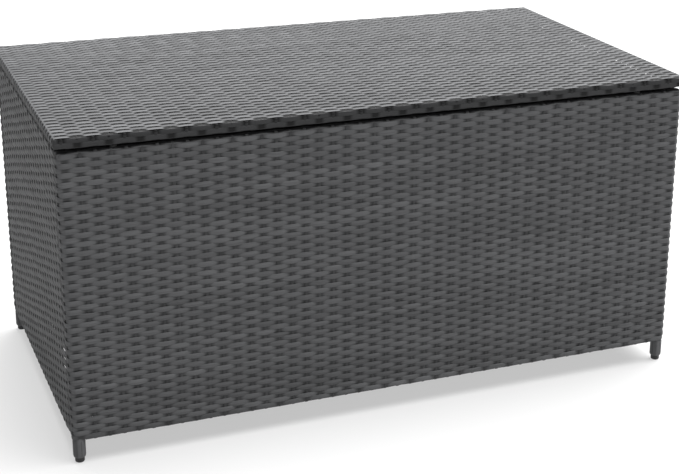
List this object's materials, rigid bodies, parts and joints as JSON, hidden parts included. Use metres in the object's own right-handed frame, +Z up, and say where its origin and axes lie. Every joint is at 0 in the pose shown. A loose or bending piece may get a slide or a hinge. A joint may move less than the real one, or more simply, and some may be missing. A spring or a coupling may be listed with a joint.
{
  "type": "deck storage box",
  "caption": "Woven garden storage box on four short legs, with a sloping hinged lid on gas struts and a hung inner liner.",
  "frame": {"origin": "on the ground, under the middle of the whole box", "axes": "+X along the width towards the right seen from the front, front towards -Y, +Z up"},
  "size_m": [1.2, 0.65, 0.61],
  "materials": {
    "weave": "flat polyethylene strip, woven, satin, anthracite",
    "frame_steel": "powder coat, satin black",
    "glide_plastic": "moulded, fine matt, black",
    "zinc": "bright zinc plate",
    "strut_black": "smooth black paint",
    "strut_rod": "ground and hard-chromed",
    "liner": "coated polyester, plain weave",
    "rubber": "moulded rubber"
  },
  "bodies": {
    "box_body": {"front_panel_frame": "frame_steel", "back_panel_frame": "frame_steel", "left_panel_frame": "frame_steel", "right_panel_frame": "frame_steel", "base_frame": "frame_steel", "front_weave": "weave", "back_weave": "weave", "left_weave": "weave", "right_weave": "weave", "liner_bag": "liner", "lid_bumper_left": "rubber", "lid_bumper_right": "rubber", "foot_glide_front_left": "glide_plastic", "foot_glide_front_right": "glide_plastic", "foot_glide_back_left": "glide_plastic", "foot_glide_back_right": "glide_plastic", "corner_bolt_front_left_lower": "zinc", "corner_bolt_front_left_upper": "zinc", "corner_bolt_front_right_lower": "zinc", "corner_bolt_front_right_upper": "zinc", "corner_bolt_back_left_lower": "zinc", "corner_bolt_back_left_upper": "zinc", "corner_bolt_back_right_lower": "zinc", "corner_bolt_back_right_upper": "zinc", "base_bolt_front_left": "zinc", "base_bolt_front_right": "zinc", "base_bolt_back_left": "zinc", "base_bolt_back_right": "zinc", "hinge_left_body_leaf": "zinc", "hinge_left_pin": "zinc", "hinge_left_body_screw_1": "zinc", "hinge_left_body_screw_2": "zinc", "strut_left_body_bracket": "zinc", "strut_left_body_pin": "zinc", "hinge_right_body_leaf": "zinc", "hinge_right_pin": "zinc", "hinge_right_body_screw_1": "zinc", "hinge_right_body_screw_2": "zinc", "strut_right_body_bracket": "zinc", "strut_right_body_pin": "zinc"},
    "lid": {"lid_frame": "frame_steel", "lid_weave": "weave", "hinge_left_lid_leaf": "zinc", "hinge_left_lid_screw_1": "zinc", "hinge_left_lid_screw_2": "zinc", "strut_left_lid_bracket": "zinc", "strut_left_lid_pin": "zinc", "hinge_right_lid_leaf": "zinc", "hinge_right_lid_screw_1": "zinc", "hinge_right_lid_screw_2": "zinc", "strut_right_lid_bracket": "zinc", "strut_right_lid_pin": "zinc"},
    "left_strut_rod": {"strut_left_rod": "strut_rod", "strut_left_rod_eye": "strut_black"},
    "left_strut_cylinder": {"strut_left_cylinder": "strut_black", "strut_left_cylinder_eye": "strut_black"},
    "right_strut_rod": {"strut_right_rod": "strut_rod", "strut_right_rod_eye": "strut_black"},
    "right_strut_cylinder": {"strut_right_cylinder": "strut_black", "strut_right_cylinder_eye": "strut_black"}
  },
  "joints": [
    {"name": "lid_hinge", "type": "hinge", "parent": "box_body", "child": "lid", "pos_m": [0, 0.321, 0.58755], "axis": [-1, 0, 0], "range_deg": [0, 80]},
    {"name": "left_strut_rod_swing", "type": "hinge", "parent": "box_body", "child": "left_strut_rod", "pos_m": [-0.561, 0.276, 0.38755], "axis": [-1, 0, 0], "range_deg": [0, 39.5]},
    {"name": "left_strut_cylinder_swing", "type": "hinge", "parent": "lid", "child": "left_strut_cylinder", "pos_m": [-0.561, 0.121, 0.56555], "axis": [-1, 0, 0], "range_deg": [-40.7, 0]},
    {"name": "right_strut_rod_swing", "type": "hinge", "parent": "box_body", "child": "right_strut_rod", "pos_m": [0.561, 0.276, 0.38755], "axis": [-1, 0, 0], "range_deg": [0, 39.5]},
    {"name": "right_strut_cylinder_swing", "type": "hinge", "parent": "lid", "child": "right_strut_cylinder", "pos_m": [0.561, 0.121, 0.56555], "axis": [-1, 0, 0], "range_deg": [-40.7, 0]}
  ],
  "couplings": [
    {"joint": "left_strut_rod_swing", "follows": "lid_hinge", "ratio": 0.49236},
    {"joint": "left_strut_cylinder_swing", "follows": "lid_hinge", "ratio": -0.50764},
    {"joint": "right_strut_rod_swing", "follows": "lid_hinge", "ratio": 0.49236},
    {"joint": "right_strut_cylinder_swing", "follows": "lid_hinge", "ratio": -0.50764}
  ]
}
